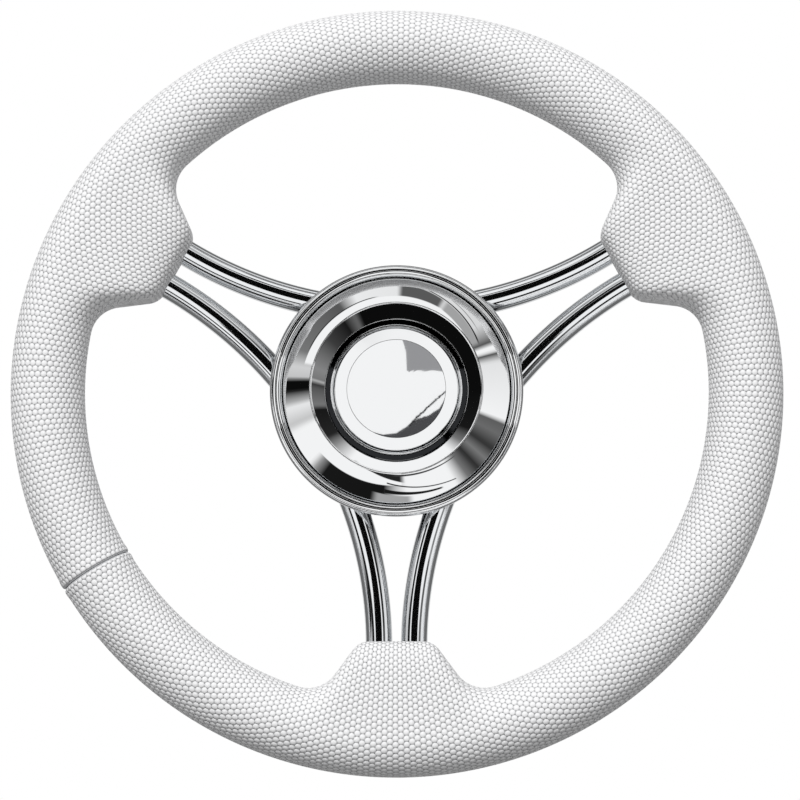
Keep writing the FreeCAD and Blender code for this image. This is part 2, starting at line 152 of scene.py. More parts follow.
@dataclass(frozen=True)
class Grain:
    """Bead grain of the grip: lengths in millimetres, colours as sRGB hex.

    The pitches run from bead to bead and from row to row. bead is a bead's radius and depth its height.
    The beads rise over seam_calm and the seam's colour fades over seam_line, both in rows from the seam.
    gap is painted shade, the grey of the hollows between beads. shadow holds the heights between which that
    painted shade turns white, and calm_shade the white beside the seam.
    """

    pitch_around: float = 2.75
    pitch_along: float = 2.43
    rows: int = 408
    bead: float = 1.5
    depth: float = 0.8
    # Painted shade in the hollows between the beads.
    gap: str = "#b8babd"
    seam: str = "#77797c"
    seam_calm: tuple[float, float] = (0.1, 0.42)
    seam_line: tuple[float, float] = (0.03, 0.15)
    shadow: tuple[float, float] = (0.05, 0.6)
    calm_shade: float = 0.7


# Short names for nodes that come with settings.
KINDS = {
    "SMOOTH": ("ShaderNodeMapRange", {"interpolation_type": "SMOOTHSTEP"}),
    "MIX": ("ShaderNodeMix", {"data_type": "RGBA"}),
    "GRAIN": ("ShaderNodeUVMap", {"uv_map": "grain"}),
}


class Graph:
    """A node tree that is filled one node at a time."""

    def __init__(self, tree: bpy.types.NodeTree) -> None:
        """Start from an empty tree."""
        self.tree = tree
        tree.nodes.clear()

    def add(self, kind: str, *values, inputs: dict | None = None) -> bpy.types.bpy_prop_collection:
        """Add a node with its settings and links.

        Args:
            kind: Key of KINDS, operation of a math node, or type of another node.
            *values: What its first inputs take, in order: a value, a socket, or the outputs of another
                node, of which the first is linked.
            inputs: What other inputs take, by name or number.

        Returns:
            The outputs of the new node.
        """
        plain_kind = ("ShaderNodeMath", {"operation": kind}) if kind.isupper() else (kind, {})
        name, settings = KINDS.get(kind, plain_kind)
        node = self.tree.nodes.new(name)
        for setting, choice in settings.items():
            setattr(node, setting, choice)
        for key, value in (dict(enumerate(values)) | (inputs or {})).items():
            source = value[0] if isinstance(value, bpy.types.bpy_prop_collection) else value
            if isinstance(source, bpy.types.NodeSocket):
                self.tree.links.new(source, node.inputs[key])
            else:
                node.inputs[key].default_value = source
        return node.outputs


class Materials:
    """Builds and keeps the materials of the wheel and its studio."""

    # Millimetres across the clouds in which roughness varies. Real polishing marks are far finer and
    # wouldn't show in the render, so they are drawn this coarse.
    HAZE = 3.84615

    def __init__(self) -> None:
        """Start with none."""
        self.made: dict[str, bpy.types.Material] = {}

    def _new(self, name: str) -> tuple[bpy.types.Material, Graph]:
        """Add an empty material and its graph."""
        material = bpy.data.materials.new(name)
        material.use_nodes = True
        self.made[name] = material
        return material, Graph(material.node_tree)

    def metal(self, metal: Metal) -> bpy.types.Material:
        """Material of one metal, made once, whose roughness varies a little in clouds.

        Args:
            metal: Which metal.

        Returns:
            The material.
        """
        finish = metal.value
        if finish.name in self.made:
            return self.made[finish.name]
        material, graph = self._new(finish.name)
        place = graph.add("ShaderNodeTexCoord")["Object"]
        scale = 1.0 / (self.HAZE * MM)
        cloud = graph.add("ShaderNodeTexNoise", inputs={"Vector": place, "Scale": scale, "Detail": 3.0})
        rough = graph.add("ShaderNodeMapRange", cloud, inputs={
            "To Min": finish.roughness * 0.7, "To Max": finish.roughness * 1.3,
        })
        surface = graph.add("ShaderNodeBsdfPrincipled", inputs={
            "Base Color": linear_colour(finish.colour), "Metallic": finish.metallic, "Roughness": rough,
        })
        graph.add("ShaderNodeOutputMaterial", surface)
        return material

    def skin(self, grain: Grain, seam_angle: float) -> bpy.types.Material:
        """White skin with beads in a honeycomb, painted shade between them and one seam, laid out on the
        grip's own grid.

        Args:
            grain: Sizes and colours of the grain.
            seam_angle: Angle of the seam round the wheel, in degrees.

        Returns:
            The material.
        """
        material, graph = self._new(SKIN.name)
        add = graph.add
        across, along, _ = add("ShaderNodeSeparateXYZ", add("GRAIN"))
        reaches = []
        for shift in (0.0, 0.5):
            step_across = add("SUBTRACT", add("FRACT", add("ADD", across, shift)), 0.5)
            pair = add("ADD", add("MULTIPLY", along, 0.5), shift)
            step_along = add("SUBTRACT", add("FRACT", pair), 0.5)
            first = add("POWER", add("MULTIPLY", step_across, grain.pitch_around), 2.0)
            second = add("POWER", add("MULTIPLY", step_along, 2.0 * grain.pitch_along), 2.0)
            reaches.append(add("SQRT", add("ADD", first, second)))
        share = add("MINIMUM", add("DIVIDE", add("MINIMUM", *reaches), grain.bead), 1.0)
        dome = add("SQRT", add("SUBTRACT", 1.0, add("POWER", share, 2.0)))
        from_seam = add("ABSOLUTE", add("SUBTRACT", along, seam_angle / 360.0 * grain.rows))
        calm = add("SMOOTH", from_seam, *grain.seam_calm)
        height = add("MULTIPLY", dome, calm)
        bump = add("ShaderNodeBump", inputs={"Height": height, "Distance": grain.depth * MM, "Strength": 1.0})
        # Painted shade: the hollows between beads get the grey gap colour, and the bead tops stay white.
        shade = add("SMOOTH", height, *grain.shadow)
        shade = add("MAXIMUM", shade, add("MULTIPLY", add("SUBTRACT", 1.0, calm), grain.calm_shade))
        white = linear_colour(SKIN.colour)
        colour = add("MIX", shade, inputs={6: linear_colour(grain.gap), 7: white})[2]
        line = add("SMOOTH", from_seam, *grain.seam_line)
        colour = add("MIX", line, inputs={6: linear_colour(grain.seam), 7: colour})[2]
        surface = add("ShaderNodeBsdfPrincipled", inputs={
            "Base Color": colour, "Roughness": SKIN.roughness, "Normal": bump,
        })
        add("ShaderNodeOutputMaterial", surface)
        return material

    def glow(self, name: str, colour: str) -> bpy.types.Material:
        """Even glow of a staged card.

        Args:
            name: Name of the material.
            colour: Colour as sRGB hex.

        Returns:
            The material.
        """
        material, graph = self._new(name)
        graph.add("ShaderNodeOutputMaterial", graph.add("ShaderNodeEmission", linear_colour(colour)))
        return material


def linked(name: str, data: bpy.types.ID) -> bpy.types.Object:
    """Add an object to the scene.

    Args:
        name: Name of the object.
        data: Its mesh, light or camera.

    Returns:
        The object.
    """
    item = bpy.data.objects.new(name, data)
    bpy.context.scene.collection.objects.link(item)
    return item


def grid_mesh(name: str, points: np.ndarray, wrap_rows: bool) -> bpy.types.Mesh:
    """Mesh of quads over a grid of points whose last column joins the first.

    Args:
        name: Name of the mesh.
        points: Array of rows by columns by three, in metres.
        wrap_rows: Join the last row to the first.

    Returns:
        The mesh, smooth shaded.
    """
    rows, columns = points.shape[:2]
    row, column = np.meshgrid(np.arange(rows if wrap_rows else rows - 1), np.arange(columns), indexing="ij")
    next_row = (row + 1) % rows
    next_column = (column + 1) % columns
    faces = np.stack([
        row * columns + column,
        next_row * columns + column,
        next_row * columns + next_column,
        row * columns + next_column,
    ], axis=-1).reshape(-1, 4)
    mesh = bpy.data.meshes.new(name)
    mesh.from_pydata(points.reshape(-1, 3).tolist(), [], faces.tolist())
    mesh.update()
    mesh.shade_smooth()
    return mesh


def mend(mesh: bpy.types.Mesh, sharp: float = 28.0) -> None:
    """Merge doubled points, face all normals outwards and keep sharp edges.

    Args:
        mesh: Mesh to change.
        sharp: Angle in degrees above which an edge stays sharp.
    """
    work = bmesh.new()
    work.from_mesh(mesh)
    bmesh.ops.remove_doubles(work, verts=work.verts, dist=0.002 * MM)
    bmesh.ops.recalc_face_normals(work, faces=work.faces)
    for edge in work.edges:
        edge.smooth = len(edge.link_faces) < 2 or edge.calc_face_angle(0.0) < math.radians(sharp)
    work.to_mesh(mesh)
    work.free()


def rounded(outline: list[tuple[float, float, float]], steps: int = 4) -> Outline:
    """Round the corners of a closed outline.

    Args:
        outline: Corners as (radius, level, corner radius), in millimetres.
        steps: Steps per rounded corner.

    Returns:
        Plain corners as (radius, level).
    """
    result = []
    count = len(outline)
    for index, (across, along, bend) in enumerate(outline):
        here = np.array([across, along])
        if bend <= 0:
            result.append((across, along))
            continue
        before = np.array(outline[index - 1][:2]) - here
        after = np.array(outline[(index + 1) % count][:2]) - here
        run_before, run_after = np.linalg.norm(before), np.linalg.norm(after)
        before, after = before / run_before, after / run_after
        half = math.acos(float(np.clip(np.dot(before, after), -1, 1))) / 2
        if half > math.radians(STRAIGHT):
            result.append((across, along))
            continue
        run = min(bend / math.tan(half), CORNER_SHARE * run_before, CORNER_SHARE * run_after)
        true_bend = run * math.tan(half)
        middle = (before + after) / np.linalg.norm(before + after)
        centre = here + middle * true_bend / math.sin(half)
        start, end = here + before * run - centre, here + after * run - centre
        first = math.atan2(start[1], start[0])
        sweep = (math.atan2(end[1], end[0]) - first + math.pi) % TURN - math.pi
        for step in range(steps + 1):
            turn = first + sweep * step / steps
            result.append((centre[0] + true_bend * math.cos(turn), centre[1] + true_bend * math.sin(turn)))
    return result


def supported(outline: Outline, margin: float = 0.14) -> Outline:
    """Add points near the ends of every long straight run, so that flats stay flat when smooth shaded.

    Args:
        outline: Closed outline of (radius, level) corners in millimetres.
        margin: Distance of the added points from the corners.

    Returns:
        The outline with the added points.
    """
    result = []
    for index, corner in enumerate(outline):
        here, following = np.array(corner), np.array(outline[(index + 1) % len(outline)])
        result.append(corner)
        run = float(np.linalg.norm(following - here))
        if run > 5 * margin:
            for share in (margin / run, 1 - margin / run):
                place = here + share * (following - here)
                result.append((float(place[0]), float(place[1])))
    return result


def turned(name: str, outline: Outline, segments: int = 224) -> bpy.types.Mesh:
    """Turn a closed outline about the wheel's axis.

    Args:
        name: Name of the mesh.
        outline: Corners as (radius, level) in millimetres, in order round the section.
        segments: Steps in a full turn.

    Returns:
        The turned mesh with sharp edges kept.
    """
    angles = (np.arange(segments) * TURN / segments)[:, None]
    corners = np.array(supported(outline)) * MM
    radius, level = corners[None, :, 0], corners[None, :, 1]
    points = np.stack([radius * np.cos(angles), -level + 0.0 * angles, radius * np.sin(angles)], axis=-1)
    mesh = grid_mesh(name, points, True)
    mend(mesh)
    return mesh


class Piece:
    """One finished piece that rides the wheel's body and stands for a CAD node."""

    def __init__(self, mesh: bpy.types.Mesh, material: bpy.types.Material, slot: str, *nodes: str,
                 second: bpy.types.Material | None = None) -> None:
        """Link the mesh, dress it, attach it to the body and hide the CAD nodes that it replaces.

        Args:
            mesh: Finished mesh in the row frame.
            material: Its material.
            slot: Material slot of the record; not used.
            *nodes: CAD nodes that it replaces.
            second: Material of the faces that ask for it.
        """
        chosen = [face.material_index for face in mesh.polygons]
        mesh.materials.clear()
        mesh.materials.append(material)
        if second:
            mesh.materials.append(second)
            mesh.polygons.foreach_set("material_index", chosen)
        self.object = linked(mesh.name, mesh)
        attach(self.object, BODY)
        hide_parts(*nodes)
        LOG.info("%s: %d faces", mesh.name, len(mesh.polygons))


@dataclass(frozen=True)
class Grip:
    """The moulded grip: a round ring that runs out into three flared bosses.

    Lengths are in millimetres and angles in degrees. boss_flank is a flank's angle to its spoke, and a
    boss_squareness of 2 would be round. seam_groove is a depth and a half width; seam_swell is the height
    of the swelling beside it, its distance and its half width.
    """

    boss_reach: float = 114.5
    boss_end_half: float = 12.0
    boss_corner: float = 9.0
    boss_flank: float = 37.0
    boss_foot: float = 15.0
    boss_squareness: float = 4.5
    seam_angle: float = 211.4
    seam_groove: tuple[float, float] = (0.9, 0.5)
    seam_swell: tuple[float, float, float] = (0.3, 2.3, 1.5)
    row_step: float = 0.7
    sides: int = 72
    grain: Grain = Grain()

    def boss_outline(self) -> tuple[np.ndarray, np.ndarray]:
        """Inside outline of half a boss as angles in degrees and radii in millimetres."""
        flank = math.radians(self.boss_flank)
        along = np.array([math.sin(flank), math.cos(flank)])
        outwards = np.array([math.cos(flank), -math.sin(flank)])
        corner_centre = np.array([self.boss_end_half, self.boss_reach + self.boss_corner])
        flank_start = corner_centre + outwards * self.boss_corner
        base = flank_start + outwards * self.boss_foot
        forward = float(base @ along)
        run = math.sqrt(forward ** 2 - float(base @ base) + (SIZES.inner - self.boss_foot) ** 2) - forward
        foot_centre = base + along * run
        flank_end = foot_centre - outwards * self.boss_foot
        touch = foot_centre * SIZES.inner / np.linalg.norm(foot_centre)
        places = [np.array([share * self.boss_end_half, self.boss_reach]) for share in np.linspace(0, 1, 8)]
        for turn in np.linspace(0, math.pi / 2 - flank, 9)[1:]:
            places.append(corner_centre + self.boss_corner * np.array([math.sin(turn), -math.cos(turn)]))
        for share in np.linspace(0, 1, 7)[1:]:
            places.append(flank_start + share * (flank_end - flank_start))
        first = math.atan2(*(flank_end - foot_centre)[::-1])
        last = math.atan2(*(touch - foot_centre)[::-1])
        for turn in np.linspace(first, last, 10)[1:]:
            places.append(foot_centre + self.boss_foot * np.array([math.cos(turn), math.sin(turn)]))
        grid = np.array(places)
        return np.degrees(np.arctan2(grid[:, 0], grid[:, 1])), np.hypot(grid[:, 0], grid[:, 1])

    def stations(self) -> tuple[np.ndarray, np.ndarray]:
        """Angles and inside radii of the mesh's rows, closer together at the bosses and the seam."""
        angle, radius = self.boss_outline()
        steps = [self.row_step * step for step in range(int(360 / self.row_step))]
        marks = [mark for mark in steps if abs(mark - self.seam_angle) > 1.0]
        beside = (0.1, 0.2, 0.3, 0.42, 0.65, 0.95)
        marks += [self.seam_angle + offset for offset in (0.0, *beside, *(-offset for offset in beside))]
        rows = []
        for mark in marks:
            gap = min(abs((mark - spoke + 180) % 360 - 180) for spoke in SIZES.spokes)
            if gap > angle[-1] + 0.3:
                rows.append((mark, gap))
        for spoke in SIZES.spokes:
            for side in angle:
                rows.append((spoke + side, side))
                if side > 0:
                    rows.append((spoke - side, side))
        turn, gap = np.array(rows).T
        order = np.argsort(turn % 360)
        return (turn % 360)[order], np.interp(gap, angle, radius)[order]

    def mesh(self) -> bpy.types.Mesh:
        """Skin of the grip with a grain layout that follows its surface."""
        turn, inner = self.stations()
        around = np.arange(self.sides) * TURN / self.sides
        drawn = np.clip((SIZES.inner - inner) / (SIZES.inner - self.boss_reach), 0, 1)
        power = (2.0 + (self.boss_squareness - 2.0) * drawn)[:, None]
        from_seam = (turn - self.seam_angle) * math.pi / 180 * SIZES.ring
        depth, groove_width = self.seam_groove
        height, away, swell_width = self.seam_swell
        groove = depth * np.exp(-(from_seam / groove_width) ** 2)
        swell = height * np.exp(-((np.abs(from_seam) - away) / swell_width) ** 2)
        tube = (SIZES.tube + swell - groove)[:, None]
        across, up = np.cos(around)[None, :], np.sin(around)[None, :]
        outside = across >= 0
        radius_out = SIZES.ring + tube * across
        reach = (SIZES.ring - inner)[:, None] * (tube / SIZES.tube)
        radius_in = SIZES.ring - reach * np.abs(across) ** (2 / power)
        level_in = tube * np.sign(up) * np.abs(up) ** (2 / power)
        radius = np.where(outside, radius_out, radius_in)
        level = SIZES.rim_level + np.where(outside, tube * up, level_in)
        angle = np.radians(turn)[:, None]
        points = np.stack([radius * np.cos(angle), -level, radius * np.sin(angle)], axis=-1) * MM
        mesh = grid_mesh("grip", points, True)
        self._lay_grain(mesh, turn, radius, level)
        return mesh

    def _lay_grain(self, mesh: bpy.types.Mesh, turn: np.ndarray, radius: np.ndarray,
                   level: np.ndarray) -> None:
        """Write the grain grid: rows along the ring, and beads round the section from either crest.

        The two halves meet without a break along the ring's outside. Their join lies on its inside, so the
        beads of the back don't shear where a boss makes the section longer.

        Args:
            mesh: Mesh of the grip.
            turn: Angle of each row in degrees.
            radius: Radius of each point in millimetres, by row and column.
            level: Level of each point in millimetres, by row and column.
        """
        rows, columns = radius.shape
        crest, half = columns // 4, columns // 2
        wrapped_radius = np.concatenate([radius, radius[:, :1]], axis=1)
        wrapped_level = np.concatenate([level, level[:, :1]], axis=1)
        steps = np.hypot(np.diff(wrapped_radius, axis=1), np.diff(wrapped_level, axis=1))
        length = np.concatenate([np.zeros((rows, 1)), np.cumsum(steps, axis=1)], axis=1)
        quarter = length[:, crest:crest + 1]
        front = (length - quarter) / self.grain.pitch_around
        behind = (length - length[:, -crest - 1:-crest] - 2 * quarter) / self.grain.pitch_around
        front = np.concatenate([front, front[:1]], axis=0)
        behind = np.concatenate([behind, behind[:1]], axis=0)
        row_number = np.concatenate([turn, [turn[0] + 360.0]]) / 360.0 * self.grain.rows
        row, column = np.meshgrid(np.arange(rows), np.arange(columns), indexing="ij")
        corners_row = np.stack([row, row + 1, row + 1, row], axis=-1)
        corners_column = np.stack([column, column, column + 1, column + 1], axis=-1)
        places = (corners_row, corners_column)
        bead = np.where(column[:, :, None] < half, front[places], behind[places])
        grid = np.stack([bead, row_number[corners_row]], axis=-1)
        layer = mesh.uv_layers.new(name="grain")
        layer.data.foreach_set("uv", grid.reshape(-1).astype(np.float32))

    def build(self, materials: Materials) -> None:
        """Make the piece and dress it."""
        Piece(self.mesh(), materials.skin(self.grain, self.seam_angle), "grip_foam", "rim_grip")


@dataclass(frozen=True)
class Rod:
    """A round bar bent to one radius that runs from boss to boss across the hub.

    Its middle lies at the angle middle round the axis, half_angle degrees from either spoke. It passes
    half_gap millimetres beside a spoke's middle line and ends inside the grip, at the radius end. The ends
    are looked for at as many points as tries says, within search radians of the middle.
    """

    node: str
    middle: float
    half_angle: float
    half_gap: float
    radius: float = 6.0
    bend: float = 184.0
    level: float = 44.4
    end: float = 155.2
    search: float = 0.84
    tries: int = 400
    steps: int = 96
    sides: int = 32

    def path(self, turn: np.ndarray, reach: float) -> np.ndarray:
        """Points in the bar's own plane.

        Args:
            turn: Angles along the bend in radians.
            reach: Distance from the bend's centre in millimetres.

        Returns:
            One point for each angle, in millimetres.
        """
        sine = math.sin(math.radians(self.half_angle))
        near = self.half_gap / sine + self.bend * (1 / sine - 1)
        dish = SIZES.rim_level - self.level
        half_sum = (SIZES.ring ** 2 - near ** 2 + dish ** 2) / 2
        spread = self.bend ** 2 - near ** 2
        twist = half_sum ** 2 + near ** 2 * dish ** 2
        rise = (half_sum * self.bend - math.sqrt(half_sum ** 2 * self.bend ** 2 - spread * twist)) / spread
        tilt = math.asin(dish / rise)
        middle = math.radians(self.middle)
        out = np.array([math.cos(middle), 0.0, math.sin(middle)])
        side = np.array([-math.sin(middle), 0.0, math.cos(middle)])
        ahead = np.array([0.0, -1.0, 0.0])
        along = out * math.cos(tilt) + ahead * math.sin(tilt)
        centre = out * near + ahead * self.level + along * self.bend
        return centre - reach * (np.outer(np.cos(turn), along) - np.outer(np.sin(turn), side))

    def mesh(self) -> bpy.types.Mesh:
        """Closed tube along the bend, as far as the hoop inside the grip."""
        turn = np.linspace(-self.search, self.search, self.tries)
        line = self.path(turn, self.bend)
        inside = np.hypot(line[:, 0], line[:, 2]) < self.end
        turn = np.linspace(turn[inside].min(), turn[inside].max(), self.steps + 1)
        line = self.path(turn, self.bend)[:, None, :]
        out = self.path(turn, self.bend + 1.0)[:, None, :] - line
        corner = self.path(np.array([0.0, 0.1]), 1.0)
        normal = np.cross(corner[1] - corner[0], self.path(np.array([0.0]), 0.0)[0] - corner[0])
        normal = normal / np.linalg.norm(normal)
        around = (np.arange(self.sides) * TURN / self.sides)[None, :, None]
        tube = line + self.radius * (np.cos(around) * out + np.sin(around) * normal)
        ends = np.repeat(line[[0, -1]], self.sides, axis=1)
        mesh = grid_mesh(self.node + "_bar", np.concatenate([ends[:1], tube, ends[1:]]) * MM, False)
        mend(mesh)
        return mesh

    def build(self, materials: Materials) -> None:
        """Make the piece and dress it."""
        Piece(self.mesh(), materials.metal(Metal.ROD), "rod_steel", self.node)


@dataclass(frozen=True)
class HubCover:
    """Pressed cover with a rolled bead, a curved flank, a ridge and a moat.

    Lengths are in millimetres and angles in degrees. bead_ring and flank_start are a radius and a level.
    The flank's slope goes from steep to flat. wall holds the radii of the moat's outer wall at its foot
    and its head, and lean the angles at which it is shaded there.
    """

    bead_ring: tuple[float, float] = (54.9, 54.9)
    bead: float = 2.8
    bead_turn: tuple[float, float] = (-100.0, 188.0)
    flank_start: tuple[float, float] = (51.5, 56.9)
    flank_inner: float = 39.5
    flank_length: float = 14.68
    steep: float = 39.5
    flat: float = 30.5
    wall: tuple[float, float] = (32.7, 38.3)
    lean: tuple[float, float] = (28.5, 24.5)

    def section(self, bead_steps: int = 24, flank_steps: int = 28) -> Outline:
        """Section of the cover from the bead by the flank, ridge and moat back to the bead.

        Args:
            bead_steps: Steps round the bead.
            flank_steps: Steps along the flank.

        Returns:
            Corners as (radius, level) in millimetres.
        """
        middle, height = self.bead_ring
        outline = []
        for turn in np.radians(np.linspace(*self.bead_turn, bead_steps + 1)):
            outline.append((middle + self.bead * math.cos(turn), height + self.bead * math.sin(turn)))
        radius, level = self.flank_start
        step_length = self.flank_length / flank_steps
        for step in range(flank_steps):
            outline.append((radius, level))
            slope = math.radians(self.steep + (self.flat - self.steep) * (step + 0.5) / flank_steps)
            radius -= step_length * math.cos(slope)
            level += step_length * math.sin(slope)
        foot, head = self.wall
        rest = [
            (radius, level, 0.0), (38.95, 65.62, 0.5), (head, 65.2, 0.3), (foot, 56.3, 0.4),
            (30.0, 56.0, 0.0), (30.0, 54.8, 0.0), (33.6, 54.8, 0.5), (38.9, 63.3, 0.5),
            (50.3, 54.2, 0.6), (*outline[0], 0.0),
        ]
        return outline + rounded(rest, 5)[:-1]

    def lean_wall(self, mesh: bpy.types.Mesh) -> None:
        """Lean the shading of the moat's wall outwards, so that it mirrors the room and not the cap.

        Args:
            mesh: The turned cover.
        """
        foot, head = self.wall
        normals = [(0.0, 0.0, 0.0)] * len(mesh.loops)
        for face in mesh.polygons:
            right, _, up = face.center
            reach = math.hypot(right, up)
            inwards = (face.normal[0] * right + face.normal[2] * up) / reach
            on_wall = foot - 0.2 < reach / MM < head + 0.3
            if face.normal[1] > -0.3 or inwards > -0.6 or not on_wall:
                continue
            for loop in face.loop_indices:
                place = mesh.vertices[mesh.loops[loop].vertex_index].co
                reach = math.hypot(place[0], place[2])
                lean = math.radians(float(np.interp(reach / MM, self.wall, self.lean)))
                side = -math.sin(lean) / reach
                normals[loop] = (side * place[0], -math.cos(lean), side * place[2])
        mesh.normals_split_custom_set(normals)

    def build(self, materials: Materials) -> None:
        """Make the piece and dress it."""
        mesh = turned("cover", self.section())
        self.lean_wall(mesh)
        Piece(mesh, materials.metal(Metal.CHROME), "cover_chrome", "hub_cover")


@dataclass(frozen=True)
class Bezel:
    """Cup in millimetres that holds the cover: a lip with a groove, and a flange painted black within band, a
    painted reflection.
    """

    bore: float = 13.5
    cup: float = 29.7
    band: tuple[float, float] = (29.9, 32.2)
    band_level: float = 56.2

    def section(self) -> Outline:
        """Section of the cup, the clamping flange and the lip."""
        floor = SIZES.cup_floor
        return rounded([
            (self.bore, floor - 1.5, 0.0), (self.cup, floor - 1.5, 0.3), (self.cup, 56.0, 0.0),
            (32.1, 56.0, 0.0), (32.1, 57.0, 0.2), (30.0, 58.1, 0.15), (29.7, 57.4, 0.12), (29.45, 58.0, 0.15),
            (28.9, 58.1, 0.25), (28.5, 57.5, 0.2), (28.2, 57.0, 0.1), (28.2, floor, 0.0),
            (self.bore, floor, 0.0),
        ])

    def paint_dark_band(self, mesh: bpy.types.Mesh) -> None:
        """Give the sloping outer band of the flange to the piece's second material, chrome painted dark as a
        painted reflection.

        Args:
            mesh: The turned bezel.
        """
        low, high = self.band
        for face in mesh.polygons:
            right, back, up = face.center
            reach = math.hypot(right, up) / MM
            if low < reach < high and back / MM < -self.band_level and face.normal[1] < 0.5:
                face.material_index = 1

    def build(self, materials: Materials) -> None:
        """Make the piece and dress it."""
        mesh = turned("bezel", self.section())
        self.paint_dark_band(mesh)
        # The band gets chrome painted dark, a painted reflection of the black room.
        chrome, painted_dark_reflection = materials.metal(Metal.CHROME), materials.metal(Metal.SEAL)
        Piece(mesh, chrome, "cover_chrome", "cap_bezel", second=painted_dark_reflection)


@dataclass(frozen=True)
class Cap:
    """Plain cap with a bevel round a flat face, sizes in millimetres."""

    radius: float = 28.0
    face: float = 22.5
    shoulder: float = 59.4
    top: float = 61.1
    wall: float = 1.6
    web: float = 3.3

    def section(self) -> Outline:
        """Section of the cap."""
        inside, under = self.radius - self.wall, self.top - self.web
        return rounded([
            (inside, SIZES.cup_floor, 0.0), (self.radius, SIZES.cup_floor, 0.2),
            (self.radius, self.shoulder, 0.35), (self.face, self.top, 0.35), (0.0, self.top, 0.0),
            (0.0, under, 0.0), (inside, under, 0.0),
        ], 5)

    def build(self, materials: Materials) -> None:
        """Make the piece and dress it."""
        Piece(turned("cap", self.section()), materials.metal(Metal.CHROME), "cover_chrome", "centre_cap")


@dataclass(frozen=True)
class Plate:
    """Round plate behind the rods, sizes in millimetres."""

    bore: float = 20.2
    radius: float = 54.5
    edge: float = 0.5

    def build(self, materials: Materials) -> None:
        """Make the piece and dress it."""
        section = rounded([
            (self.bore, SIZES.plate_rear, 0.0), (self.radius, SIZES.plate_rear, self.edge),
            (self.radius, SIZES.plate_front, self.edge), (self.bore, SIZES.plate_front, 0.0),
        ], 3)
        Piece(turned("plate", section), materials.metal(Metal.PLATE), "plate_steel", "hub_plate")


@dataclass(frozen=True)
class Hub:
    """Turned hub with a tapered bore and its keyway, in millimetres; key_top is taken from the axis."""

    bore_rear: float = 9.525
    bore_front: float = 8.1
    taper_length: float = 34.2
    key_width: float = 4.76
    key_top: float = 11.925

    def section(self) -> Outline:
        """Section of the neck, the flange and the spigot round the bore."""
        return rounded([
            (self.bore_rear, 0.0, 0.3), (24.0, 0.0, 0.9), (24.0, 12.0, 0.6), (19.0, 17.0, 1.5),
            (19.0, 26.5, 3.0), (45.0, 28.0, 0.5), (45.0, SIZES.plate_rear, 0.4),
            (20.0, SIZES.plate_rear, 0.3), (20.0, 50.0, 0.6),
            (13.5, 50.0, 0.4), (13.5, self.taper_length, 0.0),
            (self.bore_front, self.taper_length, 0.3),
        ])

    def keyed(self, mesh: bpy.types.Mesh) -> bpy.types.Mesh:
        """Cut the keyway along the top of the bore.

        Args:
            mesh: The turned hub.

        Returns:
            The hub with its keyway.
        """
        work = bmesh.new()
        bmesh.ops.create_cube(work, size=1.0)
        for vertex in work.verts:
            vertex.co[0] *= self.key_width * MM
            vertex.co[1] = (vertex.co[1] * (self.taper_length + 2.0) - self.taper_length / 2 + 1.0) * MM
            vertex.co[2] = (vertex.co[2] + 0.5) * self.key_top * MM
        tool_mesh = bpy.data.meshes.new("keyway")
        work.to_mesh(tool_mesh)
        work.free()
        tool = linked("keyway", tool_mesh)
        blank = linked("hub_blank", mesh)
        cut = blank.modifiers.new("keyway", "BOOLEAN")
        cut.object, cut.operation, cut.solver = tool, "DIFFERENCE", "EXACT"
        result = evaluated_copy(blank, "hub_keyed")
        bpy.data.objects.remove(tool)
        result.shade_smooth()
        mend(result)
        return result

    def build(self, materials: Materials) -> None:
        """Make the piece and dress it."""
        mesh = self.keyed(turned("hub", self.section()))
        Piece(mesh, materials.metal(Metal.TURNED), "hub_aluminium", "hub_boss")


def evaluated_copy(item: bpy.types.Object, name: str) -> bpy.types.Mesh:
    """Mesh of an object with its modifiers applied; the object itself is removed.

    Args:
        item: Object whose modifiers are live.
        name: Name of the new mesh.

    Returns:
        The new mesh.
    """
    bpy.context.view_layer.update()
    ready = item.evaluated_get(bpy.context.evaluated_depsgraph_get())
    mesh = bpy.data.meshes.new_from_object(ready)
    mesh.name = name
    bpy.data.objects.remove(item)
    return mesh


